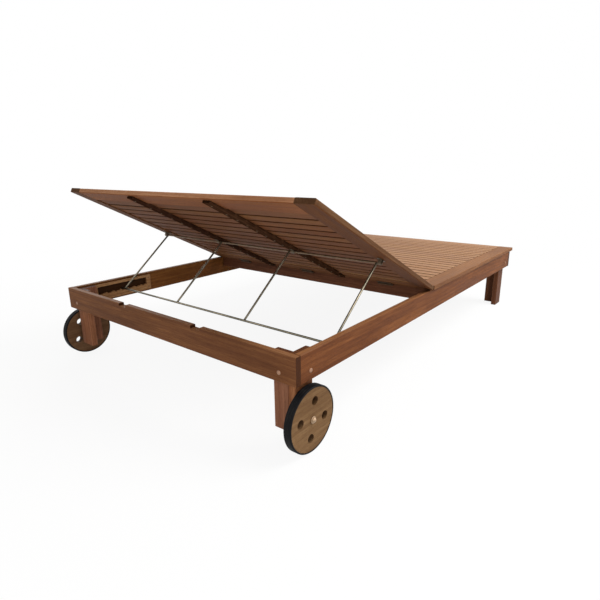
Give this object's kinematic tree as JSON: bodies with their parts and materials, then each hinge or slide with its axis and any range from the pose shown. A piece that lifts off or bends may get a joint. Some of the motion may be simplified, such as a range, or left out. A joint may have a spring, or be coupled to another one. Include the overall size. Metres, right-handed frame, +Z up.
{
  "type": "double chaise lounger",
  "caption": "Wooden double chaise lounger: slatted deck and tilting slatted backrest on a rail frame, steel prop frame in notched racks, wheels at the head end.",
  "frame": {"origin": "on the floor under the middle of the whole lounger's box", "axes": "+Z up, +Y along the lounger to its head end, +X to the left of someone lying on their back"},
  "size_m": [1.3282, 2.062, 0.7321],
  "materials": {
    "rail_wood": "oiled hardwood, mid reddish brown with fine straight grain",
    "rack_wood": "oiled hardwood, planed, a little greyer",
    "leg_wood": "oiled hardwood, end grain at the top and the sole",
    "deck_wood": "oiled hardwood, light tan brown on top",
    "backrest_wood": "oiled hardwood, light on top and dark reddish brown below",
    "wheel_wood": "turned hardwood disc, matt tan",
    "tyre": "black solid rubber, satin",
    "prop_steel": "zinc plated round bar, grey-green with bright highlights",
    "bracket_steel": "zinc plated strip and hinge steel",
    "bolt_steel": "yellowish zinc plated bolts",
    "bush_brass": "plain brass sleeve"
  },
  "bodies": {
    "frame": {"side_rail_left": "rail_wood", "side_rail_right": "rail_wood", "head_rail": "rail_wood", "foot_rail": "rail_wood", "mid_crossrail": "rail_wood", "rack_left": "rack_wood", "rack_right": "rack_wood", "head_leg_left_side_board": "leg_wood", "head_leg_left_end_board": "leg_wood", "head_leg_right_side_board": "leg_wood", "head_leg_right_end_board": "leg_wood", "foot_leg_left_side_board": "leg_wood", "foot_leg_left_end_board": "leg_wood", "foot_leg_right_side_board": "leg_wood", "foot_leg_right_end_board": "leg_wood", "deck_stile_left": "deck_wood", "deck_stile_right": "deck_wood", "deck_border_foot": "deck_wood", "deck_border_head": "deck_wood", "deck_batten_left": "deck_wood", "deck_batten_right": "deck_wood", "deck_slats_1": "deck_wood", "deck_slats_2": "deck_wood", "deck_slats_3": "deck_wood", "deck_slats_4": "deck_wood", "hinge_leaves_crossrail": "bracket_steel", "hinge_pins": "bracket_steel", "leg_bolts": "bolt_steel", "leg_nuts_and_washers": "bolt_steel", "axle_bolts": "bolt_steel", "axle_spacers": "bolt_steel", "axle_nuts": "bolt_steel"},
    "backrest": {"backrest_stile_left": "backrest_wood", "backrest_stile_right": "backrest_wood", "backrest_border_hinge": "backrest_wood", "backrest_border_head": "backrest_wood", "backrest_batten_left": "backrest_wood", "backrest_batten_right": "backrest_wood", "backrest_slats_1": "backrest_wood", "backrest_slats_2": "backrest_wood", "backrest_slats_3": "backrest_wood", "hinge_leaves_backrest": "bracket_steel", "batten_straps": "bracket_steel", "stile_straps": "bracket_steel"},
    "prop": {"prop_upper_rod": "prop_steel", "prop_rest_bar": "prop_steel", "prop_strut_1": "prop_steel", "prop_strut_2": "prop_steel", "prop_strut_3": "prop_steel", "prop_strut_4": "prop_steel"},
    "wheel_left": {"wheel_disc_left": "wheel_wood", "tyre_left": "tyre", "wheel_bush_left": "bush_brass"},
    "wheel_right": {"wheel_disc_right": "wheel_wood", "tyre_right": "tyre", "wheel_bush_right": "bush_brass"}
  },
  "joints": [
    {"name": "backrest_tilt", "type": "hinge", "parent": "frame", "child": "backrest", "pos_m": [0, 0.106, 0.3087], "axis": [1, 0, 0], "range_deg": [-26.55, 11]},
    {"name": "prop_swing", "type": "hinge", "parent": "backrest", "child": "prop", "pos_m": [0, 0.47842, 0.48513], "axis": [1, 0, 0], "range_deg": [-26.4, 63.6]},
    {"name": "wheel_left_spin", "type": "hinge", "parent": "frame", "child": "wheel_left", "pos_m": [0.6423, 0.927, 0.104], "axis": [1, 0, 0], "continuous": true},
    {"name": "wheel_right_spin", "type": "hinge", "parent": "frame", "child": "wheel_right", "pos_m": [-0.6423, 0.927, 0.104], "axis": [1, 0, 0], "continuous": true}
  ],
  "couplings": [
    {"joint": "prop_swing", "follows": "backrest_tilt", "ratio": -2.3919}
  ]
}
